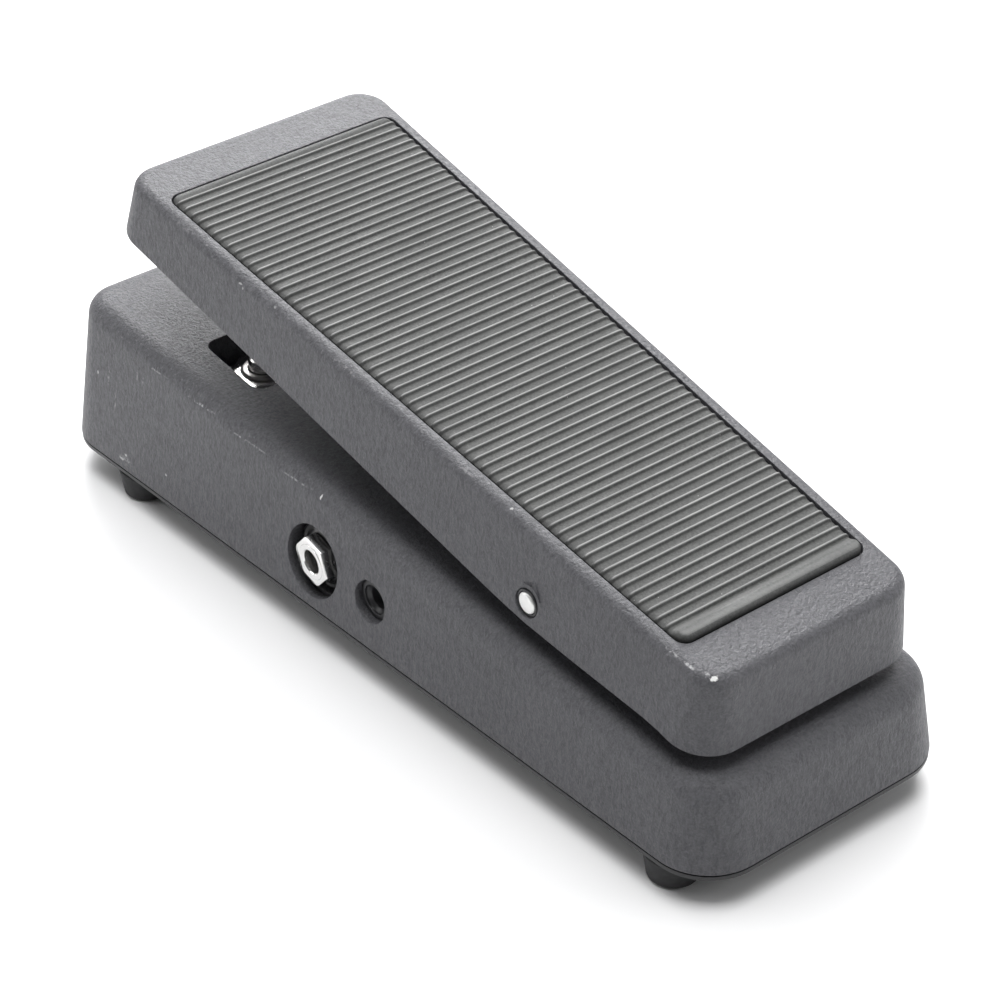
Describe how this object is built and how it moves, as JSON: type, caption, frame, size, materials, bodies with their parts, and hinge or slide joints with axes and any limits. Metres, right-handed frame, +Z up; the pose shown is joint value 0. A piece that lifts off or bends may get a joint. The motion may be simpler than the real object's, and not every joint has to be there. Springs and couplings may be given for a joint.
{
  "type": "guitar effects pedal",
  "caption": "Rocker effects pedal: die-cast wedge base, ribbed rubber treadle that tilts on a cross axle, rack and pinion under it, toe footswitch, side jacks and power socket.",
  "frame": {"origin": "on the floor, under the middle of the base", "axes": "+Y from the heel end to the toe end, +X to the player's right, +Z up"},
  "size_m": [0.1054, 0.2536, 0.0925],
  "materials": {
    "cast_charcoal": "charcoal crinkle powder coat on cast aluminium",
    "plate_black": "black semi-matt paint on steel sheet",
    "rubber_black": "matt black rubber",
    "tread_rubber": "ribbed grey-black rubber, lightly worn",
    "steel_bright": "bright machined steel",
    "steel_zinc": "zinc-plated steel",
    "steel_dark": "blackened spring steel",
    "nickel": "nickel plate",
    "plastic_black": "black moulded plastic",
    "plastic_gloss_black": "glossy black plastic",
    "nylon_white": "natural white nylon",
    "switch_blue": "dark blue moulded plastic",
    "board_green": "green solder mask",
    "inductor_red": "dark red moulded case",
    "cap_blue": "blue sleeve",
    "battery_case": "black printed tin, plain",
    "wire_red": "red insulation",
    "wire_black": "black insulation",
    "wire_green": "green insulation",
    "wire_white": "white insulation",
    "wire_yellow": "yellow insulation"
  },
  "bodies": {
    "base": {"base_housing": "cast_charcoal", "bottom_plate": "plate_black", "foot_toe_left": "rubber_black", "foot_screw_toe_left": "steel_zinc", "foot_toe_right": "rubber_black", "foot_screw_toe_right": "steel_zinc", "foot_heel_left": "rubber_black", "foot_screw_heel_left": "steel_zinc", "foot_heel_right": "rubber_black", "foot_screw_heel_right": "steel_zinc", "pivot_axle": "steel_bright", "axle_set_screw_left": "steel_dark", "axle_set_screw_right": "steel_dark", "heel_stop_pad": "rubber_black", "pot_body": "steel_zinc", "pot_nut": "nickel", "pot_bracket": "steel_zinc", "bracket_screw_1": "steel_zinc", "bracket_screw_2": "steel_zinc", "rack_guide": "nylon_white", "footswitch_body": "switch_blue", "footswitch_bushing": "nickel", "footswitch_nut": "nickel", "footswitch_spring": "steel_zinc", "output_jack_body": "plastic_black", "output_jack_bush": "nickel", "output_jack_washer": "plastic_gloss_black", "output_jack_nut": "nickel", "input_jack_body": "plastic_black", "input_jack_bush": "nickel", "input_jack_washer": "plastic_gloss_black", "input_jack_nut": "nickel", "dc_jack_body": "plastic_black", "dc_jack_pin": "nickel", "circuit_board": "board_green", "board_screw_1": "steel_zinc", "board_screw_2": "steel_zinc", "board_screw_3": "steel_zinc", "inductor": "inductor_red", "capacitor": "cap_blue", "transistor": "plastic_black", "battery": "battery_case", "battery_snap": "plastic_black", "battery_wire_red": "wire_red", "battery_wire_black": "wire_black", "switch_wire": "wire_green", "output_wire": "wire_white", "pot_wire": "wire_yellow"},
    "treadle_body": {"treadle": "cast_charcoal", "tread_pad": "tread_rubber", "treadle_bushing_left": "plastic_black", "treadle_bushing_right": "plastic_black", "toe_bumper": "rubber_black", "clevis_pin": "steel_zinc", "clevis_clip_left": "steel_dark", "clevis_clip_right": "steel_dark"},
    "rack_body": {"rack": "nylon_white"},
    "pinion_body": {"pinion_gear": "nylon_white", "pot_shaft": "steel_zinc"},
    "plunger_body": {"footswitch_plunger": "nickel"}
  },
  "joints": [
    {"name": "treadle_pivot", "type": "hinge", "parent": "base", "child": "treadle_body", "pos_m": [0, -0.0597, 0.0494], "axis": [1, 0, 0], "range_deg": [-8, 0], "deforming": ["toe_bumper"]},
    {"name": "rack_hang", "type": "hinge", "parent": "treadle_body", "child": "rack_body", "pos_m": [0, -0.0075, 0.0531], "axis": [1, 0, 0], "range_deg": [0, 8]},
    {"name": "pinion_spin", "type": "hinge", "parent": "base", "child": "pinion_body", "pos_m": [0, -0.0167, 0.025], "axis": [1, 0, 0], "range_deg": [-70, 0]},
    {"name": "footswitch_press", "type": "slide", "parent": "base", "child": "plunger_body", "axis": [0, 0, 1], "range_m": [-0.0038, 0], "stiffness_N_per_m": 1500, "springref_m": 0.002, "deforming": ["footswitch_spring"]}
  ],
  "couplings": [
    {"joint": "rack_hang", "follows": "treadle_pivot", "ratio": -1},
    {"joint": "pinion_spin", "follows": "treadle_pivot", "ratio": 8.7}
  ]
}
